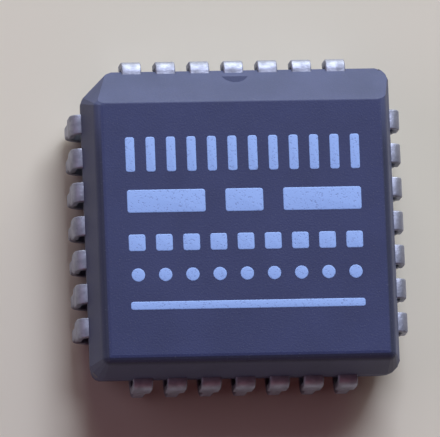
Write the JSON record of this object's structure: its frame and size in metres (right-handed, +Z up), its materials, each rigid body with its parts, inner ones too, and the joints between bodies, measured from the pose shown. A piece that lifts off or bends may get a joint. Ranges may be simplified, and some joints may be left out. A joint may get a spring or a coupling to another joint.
{
  "type": "plastic leaded chip carrier",
  "caption": "Square moulded chip package with J-shaped leads on all four sides, a bevelled pin 1 side and a chamfered index corner, for soldering or a socket.",
  "frame": {"origin": "centre of the seating plane under the feet of the leads", "axes": "+Z up out of the top face, +Y towards the pin 1 side, index corner at -X +Y"},
  "size_m": [0.0124, 0.0124, 0.0044],
  "materials": {
    "mould_compound": "matte",
    "solder_plate": "satin",
    "copper_frame": "satin",
    "silver_paste": "matte",
    "silicon": "polished",
    "gold_wire": "polished",
    "marking_ink": "matte"
  },
  "bodies": {
    "root": {"moulded_body": "mould_compound", "die_paddle": "copper_frame", "die_attach": "silver_paste", "die": "silicon", "lead_01": "solder_plate", "lead_02": "solder_plate", "lead_03": "solder_plate", "lead_04": "solder_plate", "lead_05": "solder_plate", "lead_06": "solder_plate", "lead_07": "solder_plate", "lead_08": "solder_plate", "lead_09": "solder_plate", "lead_10": "solder_plate", "lead_11": "solder_plate", "lead_12": "solder_plate", "lead_13": "solder_plate", "lead_14": "solder_plate", "lead_15": "solder_plate", "lead_16": "solder_plate", "lead_17": "solder_plate", "lead_18": "solder_plate", "lead_19": "solder_plate", "lead_20": "solder_plate", "lead_21": "solder_plate", "lead_22": "solder_plate", "lead_23": "solder_plate", "lead_24": "solder_plate", "lead_25": "solder_plate", "lead_26": "solder_plate", "lead_27": "solder_plate", "lead_28": "solder_plate", "bond_wire_01": "gold_wire", "bond_wire_02": "gold_wire", "bond_wire_03": "gold_wire", "bond_wire_04": "gold_wire", "bond_wire_05": "gold_wire", "bond_wire_06": "gold_wire", "bond_wire_07": "gold_wire", "bond_wire_08": "gold_wire", "bond_wire_09": "gold_wire", "bond_wire_10": "gold_wire", "bond_wire_11": "gold_wire", "bond_wire_12": "gold_wire", "bond_wire_13": "gold_wire", "bond_wire_14": "gold_wire", "bond_wire_15": "gold_wire", "bond_wire_16": "gold_wire", "bond_wire_17": "gold_wire", "bond_wire_18": "gold_wire", "bond_wire_19": "gold_wire", "bond_wire_20": "gold_wire", "bond_wire_21": "gold_wire", "bond_wire_22": "gold_wire", "bond_wire_23": "gold_wire", "bond_wire_24": "gold_wire", "bond_wire_25": "gold_wire", "bond_wire_26": "gold_wire", "bond_wire_27": "gold_wire", "bond_wire_28": "gold_wire"}
  },
  "joints": []
}
